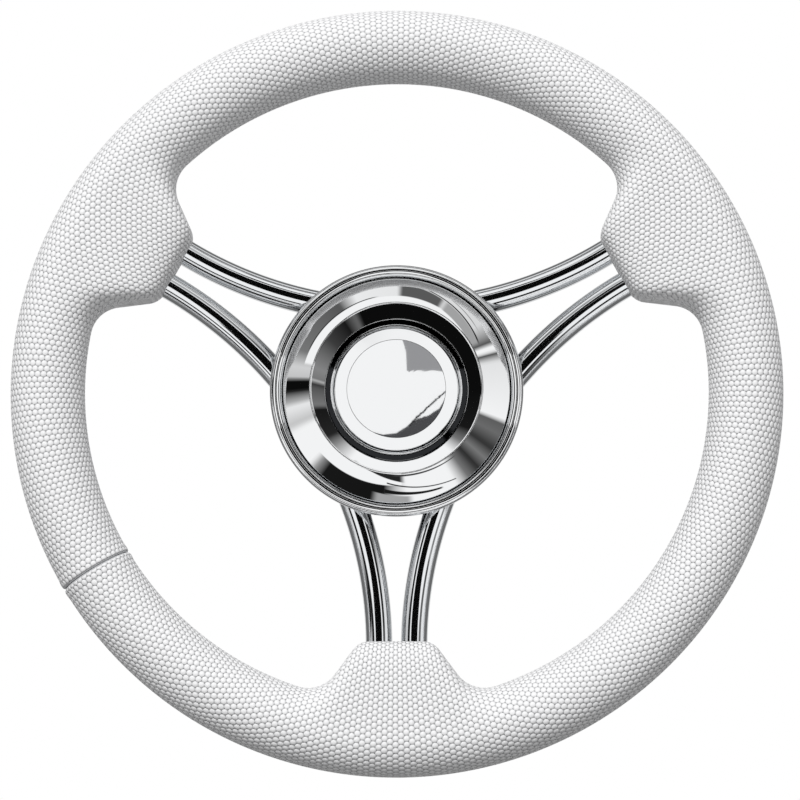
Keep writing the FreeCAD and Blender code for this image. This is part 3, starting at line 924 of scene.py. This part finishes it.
@dataclass(frozen=True)
class Screws:
    """Three hexagon screws that point backwards, set round the axis by Geometry Nodes.

    Sizes are in millimetres. circle is the diameter on which they stand, and level that of the underside
    of their heads.
    """

    name: str
    node: str
    diameter: float
    length: float
    flats: float
    head: float
    circle: float
    level: float
    sides: int = 36

    def single(self) -> bpy.types.Mesh:
        """One screw about the Y axis with the underside of its head at zero."""
        angles = np.arange(self.sides) * TURN / self.sides
        off_flat = np.abs((angles + math.pi / 6) % (math.pi / 3) - math.pi / 6)
        hexagon = self.flats / 2 / np.cos(off_flat)
        shank = np.full(self.sides, self.diameter)
        profile = (
            (shank * 0.0, -self.length), (shank * 0.3, -self.length), (shank * 0.5, -self.length + 0.8),
            (shank * 0.5, 0.0), (hexagon, 0.0), (hexagon, self.head * 0.86), (hexagon * 0.88, self.head),
            (hexagon * 0.0, self.head),
        )
        rows = [
            np.stack([reach * np.cos(angles), np.full(self.sides, -level), reach * np.sin(angles)], axis=-1)
            for reach, level in profile
        ]
        mesh = grid_mesh(self.name + "_one", np.array(rows) * MM, False)
        mend(mesh, 22.0)
        return mesh

    def tree(self) -> bpy.types.NodeTree:
        """Geometry Nodes group that sets a piece round the wheel's axis, the first below it."""
        tree = bpy.data.node_groups.new("set_round_axis", "GeometryNodeTree")
        for name, kind in (("Piece", "NodeSocketObject"), ("Count", "NodeSocketInt"),
                           ("Radius", "NodeSocketFloat"), ("Level", "NodeSocketFloat"),
                           ("Material", "NodeSocketMaterial")):
            tree.interface.new_socket(name, in_out="INPUT", socket_type=kind)
        tree.interface.new_socket("Geometry", in_out="OUTPUT", socket_type="NodeSocketGeometry")
        add = Graph(tree).add
        entry = add("NodeGroupInput")
        share = add("DIVIDE", add("GeometryNodeInputIndex"), entry["Count"])
        angle = add("SUBTRACT", add("MULTIPLY", share, TURN), math.pi / 2)
        right = add("MULTIPLY", entry["Radius"], add("COSINE", angle))
        up = add("MULTIPLY", entry["Radius"], add("SINE", angle))
        place = add("ShaderNodeCombineXYZ", right, entry["Level"], up)
        points = add("GeometryNodePoints", inputs={"Count": entry["Count"], "Position": place})
        shape = add("GeometryNodeObjectInfo", inputs={"Object": entry["Piece"]})["Geometry"]
        spread = add("GeometryNodeInstanceOnPoints", inputs={"Points": points, "Instance": shape})
        real = add("GeometryNodeRealizeInstances", spread)
        dressed = add("GeometryNodeSetMaterial", inputs={"Geometry": real, "Material": entry["Material"]})
        add("NodeGroupOutput", dressed)
        return tree

    def build(self, materials: Materials) -> None:
        """Make the three screws as one piece and dress it."""
        steel = materials.metal(Metal.SCREW)
        one = linked(self.name + "_one", self.single())
        maker = linked(self.name + "_maker", bpy.data.meshes.new(self.name + "_maker"))
        modifier = maker.modifiers.new("repeat", "NODES")
        modifier.node_group = self.tree()
        values = {"Piece": one, "Count": 3, "Radius": self.circle / 2 * MM, "Level": -self.level * MM,
                  "Material": steel}
        for item in modifier.node_group.interface.items_tree:
            if item.item_type == "SOCKET" and item.in_out == "INPUT":
                modifier[item.identifier] = values[item.name]
        mesh = evaluated_copy(maker, self.name)
        bpy.data.objects.remove(one)
        Piece(mesh, steel, "screw_steel", self.node)


class Wheel:
    """All the pieces of the steering wheel."""

    ROD_TOP_HALF_GAP = 10.15
    ROD_PAIR_HALF_GAP = 8.9

    def __init__(self, materials: Materials, nodes: dict[str, bpy.types.Object]) -> None:
        """Keep the materials and the frame's CAD nodes."""
        self.materials = materials
        self.nodes = nodes
        self.cover = HubCover()
        self.cap = Cap()

    def build(self) -> None:
        """Build every piece and dress the hoop, which stays as the CAD has it."""
        hoop = self.nodes["rim_hoop"].data
        hoop.materials.clear()
        hoop.materials.append(self.materials.metal(Metal.HOOP))
        rise = SIZES.spoke_rise
        low_half = 45.0 + rise / 2
        pieces = (
            Grip(),
            Rod("spoke_rod_top", 90.0, 90.0 - rise, self.ROD_TOP_HALF_GAP),
            Rod("spoke_rod_left", 225.0 - rise / 2, low_half, self.ROD_PAIR_HALF_GAP),
            Rod("spoke_rod_right", 315.0 + rise / 2, low_half, self.ROD_PAIR_HALF_GAP),
            self.cover,
            Bezel(),
            self.cap,
            Plate(),
            Hub(),
            Screws("plate_screws", "hub_screws", 6.0, 11.0, 10.0, 4.0, 76.0, SIZES.plate_front),
            Screws("small_screws", "bezel_screws", 4.0, 8.0, 6.0, 2.6, 34.0, SIZES.cup_floor),
        )
        for piece in pieces:
            piece.build(self.materials)


@dataclass(frozen=True)
class View:
    """The photo's camera: angles in degrees, distance and sensor in millimetres.

    At the grip's middle the picture shows scale pixels to a millimetre, and that point lies at centre.
    picture is the picture's width in pixels.
    """

    azimuth: float = 1.05
    elevation: float = -7.6
    distance: float = 1500.0
    scale: float = 2.2067
    centre: tuple[float, float] = (396.3, 388.9)
    picture: float = 800.0
    sensor: float = 36.0

    @property
    def away(self) -> tuple[float, float, float]:
        """Direction from the wheel to the camera."""
        azimuth, elevation = math.radians(self.azimuth), math.radians(self.elevation)
        return (
            math.sin(azimuth) * math.cos(elevation),
            -math.cos(azimuth) * math.cos(elevation),
            math.sin(elevation),
        )

    @property
    def eye(self) -> np.ndarray:
        """Place of the camera in metres."""
        return (np.array([0.0, -SIZES.rim_level, 0.0]) + np.array(self.away) * self.distance) * MM

    def camera(self) -> None:
        """Add the camera and make it the scene's."""
        data = bpy.data.cameras.new("camera")
        data.sensor_width = self.sensor
        data.lens = self.scale * self.distance * self.sensor / self.picture
        data.shift_x = 0.5 - self.centre[0] / self.picture
        data.shift_y = self.centre[1] / self.picture - 0.5
        data.clip_start, data.clip_end = 0.05, 50.0
        camera = linked("camera", data)
        camera.location = self.eye
        camera.rotation_euler = (math.radians(90.0 - self.elevation), 0.0, math.radians(self.azimuth))
        bpy.context.scene.camera = camera

    def mirrored(self, corners: Stops, level: float, plane: float) -> list[tuple[float, float, float]]:
        """Place a card so that a flat face mirrors it to the camera at the given points.

        Args:
            corners: Points on the face as (right, up) in millimetres.
            level: Level of the face in millimetres.
            plane: Distance of the card ahead of the hub's rear face, in metres.

        Returns:
            Corners of the card in metres.
        """
        face = -level * MM
        eye = self.eye
        image = np.array([eye[0], 2 * face - eye[1], eye[2]])
        result = []
        for right, up in corners:
            point = np.array([right * MM, face, up * MM])
            share = (-plane - image[1]) / (point[1] - image[1])
            result.append(tuple(float(number) for number in image + share * (point - image)))
        return result


@dataclass(frozen=True)
class Card:
    """A flat staged card with an even glow, which shows in the cap's flat face.

    Its plane is in metres ahead of the hub's rear face. Its corners are given where they show on the cap,
    as (right, up) in millimetres.
    """

    name: str
    colour: str
    plane: float
    corners: Stops

    def build(self, view: View, cap: Cap, materials: Materials) -> None:
        """Add the card, which only reflections see.

        Args:
            view: Camera to which the cap mirrors it.
            cap: The cap that mirrors it.
            materials: Where its glow comes from.
        """
        corners = view.mirrored(self.corners, cap.top, self.plane)
        mesh = bpy.data.meshes.new(self.name)
        mesh.from_pydata(corners, [], [tuple(range(len(corners)))])
        mesh.materials.append(materials.glow(self.name, self.colour))
        item = linked(self.name, mesh)
        item.visible_camera = False
        item.visible_diffuse = False
        item.visible_shadow = False


# The first card is a disc that fills the cap's face; the others lie in front of it.
CAP_CARDS = (
    Card("front_white", "#ffffff", 2.70, tuple(
        (30.0 * math.cos(turn * TURN / 40), 30.0 * math.sin(turn * TURN / 40)) for turn in range(40)
    )),
    Card("front_grey", "#9b9b9d", 2.66, (
        (2.2, 24.0), (3.4, 20.6), (4.5, 16.5), (4.8, 8.1), (10.0, 8.0), (17.0, 8.3), (26.0, 7.0),
        (26.0, 26.0),
    )),
    Card("front_dark", "#4c4c4e", 2.64, (
        (-12.0, -19.4), (-6.0, -21.0), (0.0, -20.3), (5.2, -17.0), (9.8, -13.8), (15.0, -12.0), (19.6, -9.0),
        (22.6, -3.6), (27.0, -3.0), (27.0, -27.0), (-12.0, -27.0),
    )),
    Card("front_line", "#2a2a2c", 2.62, (
        (5.2, -17.0), (9.3, -12.6), (13.0, -9.2), (17.6, -5.0), (22.8, -0.6), (23.0, -1.3), (18.0, -5.7),
        (13.4, -9.9), (9.8, -13.4), (6.2, -17.2),
    )),
)


@dataclass(frozen=True)
class Swirl:
    """A bright or dark streak of the room that winds round the wheel's axis.

    turn holds its first and last angle in degrees, inner and outer the radii of its edges at either end,
    in millimetres on the cover's flank. soft is the width of an edge there, and fade the share of its
    length over which an end fades.
    """

    turn: tuple[float, float]
    inner: tuple[float, float]
    outer: tuple[float, float]
    level: float
    soft: float = 0.3
    fade: float = 0.02


# Levels by angle in degrees: from the left by the bottom, the right and the top back to the left.
FLANK_RING = (
    (-180.0, 0.004), (-178.5, 0.02), (-173.0, 0.45), (-170.0, 0.9), (-161.0, 0.6),
    (-157.0, 1.0), (-140.0, 1.0), (-136.0, 0.3), (-131.0, 0.01), (-97.0, 0.008), (-90.0, 0.6), (-84.0, 1.0),
    (-58.0, 1.0), (-51.0, 0.2), (-44.0, 0.02), (-38.0, 0.2), (-32.0, 0.03), (-24.0, 0.16), (-18.0, 0.12),
    (-16.0, 1.0), (15.0, 0.85), (20.0, 0.03), (21.5, 1.0), (24.5, 1.0), (26.0, 0.06),
    (38.0, 0.75), (114.0, 0.92), (124.0, 0.1), (158.0, 0.2), (167.0, 0.7), (173.5, 0.6), (174.8, 0.004),
)
WALL_RING = (
    (-180.0, 0.004), (-64.0, 0.004), (-60.0, 0.14), (-52.0, 0.01), (-36.0, 0.05), (-14.0, 0.26), (-6.0, 0.2),
    (-5.0, 0.9), (-4.0, 0.02), (0.0, 0.1), (12.0, 0.2), (15.0, 0.01), (36.0, 0.02), (44.0, 0.3), (58.0, 1.0),
    (130.0, 1.0), (140.0, 0.2), (150.0, 0.01), (180.0, 0.004),
)
# Levels by angle in degrees away from straight ahead.
POLAR_RINGS = (
    (0.0, 1.0), (42.0, 1.0), (45.0, 0.03), (59.0, 0.03), (62.0, 0.3), (86.0, 0.3), (90.0, 0.18),
    (138.0, 0.14), (146.0, 0.75), (160.0, 0.9), (164.0, 0.25), (170.0, 0.6), (180.0, 0.8),
)
SWIRLS = (
    Swirl((40.0, 166.0), (36.0, 36.0), (42.4, 44.0), 1.0),
    Swirl((100.0, 158.0), (43.4, 43.9), (43.8, 44.4), 0.03, 0.2, 0.1),
    Swirl((60.0, 90.0), (42.4, 43.2), (46.6, 50.0), 0.11, 0.6, 0.14),
    Swirl((27.0, 62.0), (39.0, 42.4), (43.0, 46.8), 0.4, 0.6, 0.12),
    Swirl((27.0, 78.0), (43.0, 49.0), (43.7, 49.4), 0.01, 0.2, 0.1),
    Swirl((32.0, 70.0), (46.0, 50.2), (46.4, 50.4), 0.2, 0.3, 0.3),
    Swirl((54.0, 120.0), (49.0, 50.6), (53.0, 53.0), 0.05, 0.7, 0.2),
    Swirl((-157.0, -86.0), (36.0, 36.0), (46.2, 45.2), 1.0, 0.4),
    Swirl((-118.0, -84.0), (38.6, 40.8), (38.9, 44.4), 0.02, 0.4, 0.12),
    Swirl((-96.0, -56.0), (44.0, 49.8), (44.6, 50.2), 0.01, 0.3),
    Swirl((-94.0, -48.0), (40.4, 41.6), (41.4, 41.9), 0.05, 0.3, 0.1),
    Swirl((-98.0, -64.0), (46.9, 50.2), (48.6, 50.9), 0.01, 0.3, 0.06),
    Swirl((-104.0, -80.0), (48.8, 50.4), (53.0, 53.0), 0.4, 0.5, 0.2),
)


class Room:
    """World of the studio: white for the camera, soft light for the skin, cards for the bright metal."""

    # Strength of each soft light, and the parts of a direction between which it rises.
    AHEAD, ABOVE, BEHIND, BASE = 0.31, 0.52, 0.55, 0.06
    AHEAD_RISE, ABOVE_RISE, BEHIND_RISE = (-0.25, 0.8), (-0.8, 0.9), (0.4, 1.0)
    # Twice the tilts of the facets that mirror each ring, in degrees.
    WALL_TILTS = (46.0, 59.0)
    FLANK_TILTS = (60.0, 87.0)
    BEVEL_TILTS = (32.0, 37.0)
    # Soft edges of the white card overhead, in degrees above the horizon and away from straight ahead.
    OVERHEAD_LIFT, OVERHEAD_AWAY = (28.0, 46.0), (112.0, 98.0)
    # The dark card in degrees: its half width at the line of sight, how much wider it gets away from
    # there, its lower edge on the axis, how much lower that gets to the sides, and its upper edge.
    CORE_HALF, CORE_WIDER, CORE_WIDENS = 18.0, 11.0, (5.0, 9.0)
    CORE_FOOT, CORE_LOWER, CORE_LOWERS = -11.0, -8.0, (3.0, 12.0)
    CORE_TOP = (50.0, 46.0)

    def __init__(self, view: View, cover: HubCover) -> None:
        """Keep what the reflections are matched to, and start an empty world."""
        self.view = view
        self.cover = cover
        world = bpy.data.worlds.new("studio")
        world.use_nodes = True
        bpy.context.scene.world = world
        self.add = Graph(world.node_tree).add

    def build(self) -> None:
        """Mix the three looks of the world by the kind of ray that meets it."""
        add = self.add
        right, back, up = add("ShaderNodeSeparateXYZ", add("ShaderNodeTexCoord")["Generated"])
        soft, reflected, white = (
            add("ShaderNodeBackground", colour)
            for colour in (self.soft(back, up), self.reflected(right, back, up), WHITE)
        )
        ray = add("ShaderNodeLightPath")
        lit = add("ShaderNodeMixShader", ray["Is Glossy Ray"], soft, reflected)
        seen = add("ShaderNodeMixShader", ray["Is Camera Ray"], lit, white)
        add("ShaderNodeOutputWorld", seen)

    def soft(self, back: Socket, up: Socket) -> Socket:
        """Light from above, from in front and from behind, which fades to the sides and below."""
        add = self.add
        ahead = add("SMOOTH", add("MULTIPLY", back, -1.0), *self.AHEAD_RISE)
        above = add("SMOOTH", up, *self.ABOVE_RISE)
        behind = add("SMOOTH", back, *self.BEHIND_RISE)
        level = add("MULTIPLY_ADD", ahead, self.AHEAD, self.BASE)
        level = add("MULTIPLY_ADD", above, self.ABOVE, level)
        level = add("MULTIPLY_ADD", behind, self.BEHIND, level)
        return add("ShaderNodeCombineXYZ", level, level, level)[0]

    def reflected(self, right: Socket, back: Socket, up: Socket) -> Socket:
        """Bright and dark cards: rings about the line of sight, and rings and swirls for the cover."""
        add = self.add
        ahead = add("MULTIPLY", back, -1.0)
        aside = add("MULTIPLY", add("ARCTAN2", right, ahead), 180.0 / math.pi)
        lift = add("MULTIPLY", add("ARCSINE", up), 180.0 / math.pi)
        away = add("MULTIPLY", add("ARCCOSINE", ahead), 180.0 / math.pi)
        turn, tilt = self.facet(right, ahead, up)
        rings = add("ShaderNodeValToRGB", add("DIVIDE", away, 180.0))
        fill_ramp(rings, POLAR_RINGS, 180.0, 0.0)
        overhead = add("MULTIPLY", add("SMOOTH", lift, *self.OVERHEAD_LIFT),
                       add("SMOOTH", away, *self.OVERHEAD_AWAY))
        colour = add("MIX", overhead, inputs={6: rings, 7: WHITE})[2]
        for stops, (low, high) in ((WALL_RING, self.WALL_TILTS), (FLANK_RING, self.FLANK_TILTS)):
            ramp = add("ShaderNodeValToRGB", add("ADD", add("DIVIDE", turn, TURN), 0.5))
            fill_ramp(ramp, stops, 360.0, 0.5)
            inside = add("MULTIPLY", add("SMOOTH", tilt, low - 0.5, low + 0.5),
                         add("SMOOTH", tilt, high + 0.5, high - 0.5))
            colour = add("MIX", inside, inputs={6: colour, 7: ramp})[2]
        for swirl in SWIRLS:
            colour = self.wind(swirl, turn, tilt, colour)
        low, high = self.BEVEL_TILTS
        bevel = add("MULTIPLY", add("SMOOTH", tilt, low, low + 0.6),
                    add("SMOOTH", tilt, high, high - 0.6))
        core = add("MULTIPLY", self.core(aside, lift), add("SUBTRACT", 1.0, bevel))
        return add("MIX", core, inputs={6: colour, 7: BLACK})[2]

    def core(self, aside: Socket, lift: Socket) -> Socket:
        """Dark card straight ahead, narrower at the line of sight's height and open below."""
        add = self.add
        off_line = add("ABSOLUTE", add("ADD", lift, self.view.elevation))
        off_axis = add("ABSOLUTE", aside)
        away = add("SMOOTH", off_line, *self.CORE_WIDENS)
        half = add("MULTIPLY_ADD", away, self.CORE_WIDER, self.CORE_HALF)
        core = add("SMOOTH", add("SUBTRACT", half, off_axis), -1.0, 1.0)
        sideways = add("SMOOTH", off_axis, *self.CORE_LOWERS)
        foot = add("MULTIPLY_ADD", sideways, self.CORE_LOWER, self.CORE_FOOT)
        core = add("MULTIPLY", core, add("SMOOTH", add("SUBTRACT", lift, foot), -1.0, 1.0))
        return add("MULTIPLY", core, add("SMOOTH", lift, *self.CORE_TOP))[0]

    def facet(self, right: Socket, ahead: Socket, up: Socket) -> tuple[Socket, Socket]:
        """Turn a direction into the facet of the wheel that mirrors it along the photo's line of sight.

        Returns:
            The facet's angle round the axis in radians, and twice its tilt in degrees.
        """
        add = self.add
        view_right, view_back, view_up = self.view.away
        aside = add("ADD", right, view_right)
        lifted = add("ADD", up, view_up)
        onward = add("ADD", ahead, -view_back)
        squares = add("ADD", add("POWER", aside, 2.0), add("POWER", lifted, 2.0))
        tilt = add("ARCTAN2", add("SQRT", squares), onward)
        return add("ARCTAN2", lifted, aside)[0], add("MULTIPLY", tilt, 360.0 / math.pi)[0]

    def wind(self, swirl: Swirl, turn: Socket, tilt: Socket, colour: Socket) -> Socket:
        """Lay one streak over a colour."""
        add = self.add
        cover = self.cover
        first, last = (math.radians(angle) for angle in swirl.turn)
        spread = 2.0 * (cover.steep - cover.flat) / (cover.flank_start[0] - cover.flank_inner)
        share = add("DIVIDE", add("SUBTRACT", turn, first), last - first)
        mask = add("MULTIPLY", add("SMOOTH", share, 0.0, swirl.fade),
                   add("SMOOTH", share, 1.0, 1.0 - swirl.fade))
        soft = swirl.soft * spread / 2
        for edge, sign in ((swirl.inner, 1.0), (swirl.outer, -1.0)):
            start, end = (2.0 * cover.flat + spread * (radius - cover.flank_inner) for radius in edge)
            line = add("MULTIPLY_ADD", share, end - start, start)
            past = add("MULTIPLY", add("SUBTRACT", tilt, line), sign)
            mask = add("MULTIPLY", mask, add("SMOOTH", past, -soft, soft))
        return add("MIX", mask, inputs={6: colour, 7: (swirl.level,) * 3 + (1.0,)})[2]


def fill_ramp(outputs: bpy.types.bpy_prop_collection, stops: Stops, span: float, start: float) -> None:
    """Set the stops of a ramp.

    Args:
        outputs: Outputs of the ramp's node.
        stops: Angle in degrees and level of each stop.
        span: Angle that the whole ramp covers.
        start: Position of the angle zero.
    """
    ramp = outputs[0].node.color_ramp
    while len(ramp.elements) > 1:
        ramp.elements.remove(ramp.elements[-1])
    for number, (angle, level) in enumerate(stops):
        position = angle / span + start
        if number:
            element = ramp.elements.new(position)
        else:
            element = ramp.elements[0]
            element.position = position
        element.color = (level, level, level, 1.0)


class Studio:
    """World, lamp, cards and camera."""

    SUN_ENERGY = 1.75
    SUN_WIDTH = 12.0
    SUN_TILT = (50.0, -24.0, 0.0)

    def __init__(self, materials: Materials, wheel: Wheel) -> None:
        """Keep the materials and the wheel that is shown."""
        self.materials = materials
        self.wheel = wheel
        self.view = View()

    def sun(self) -> None:
        """A soft sun from above and in front that models the grain."""
        data = bpy.data.lights.new("sun", "SUN")
        data.energy = self.SUN_ENERGY
        data.angle = math.radians(self.SUN_WIDTH)
        data.specular_factor = 0.0
        sun = linked("sun", data)
        sun.rotation_euler = tuple(math.radians(angle) for angle in self.SUN_TILT)
        sun.visible_glossy = False

    def build(self) -> None:
        """Set up the whole studio."""
        Room(self.view, self.wheel.cover).build()
        self.sun()
        for card in CAP_CARDS:
            card.build(self.view, self.wheel.cap, self.materials)
        self.view.camera()


def main() -> None:
    """Load the frame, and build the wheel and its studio."""
    logging.basicConfig(level=logging.INFO)
    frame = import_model()
    bpy.context.scene.view_settings.view_transform = "Standard"
    materials = Materials()
    wheel = Wheel(materials, frame["nodes"])
    wheel.build()
    Studio(materials, wheel).build()


if __name__ == "__main__":
    main()
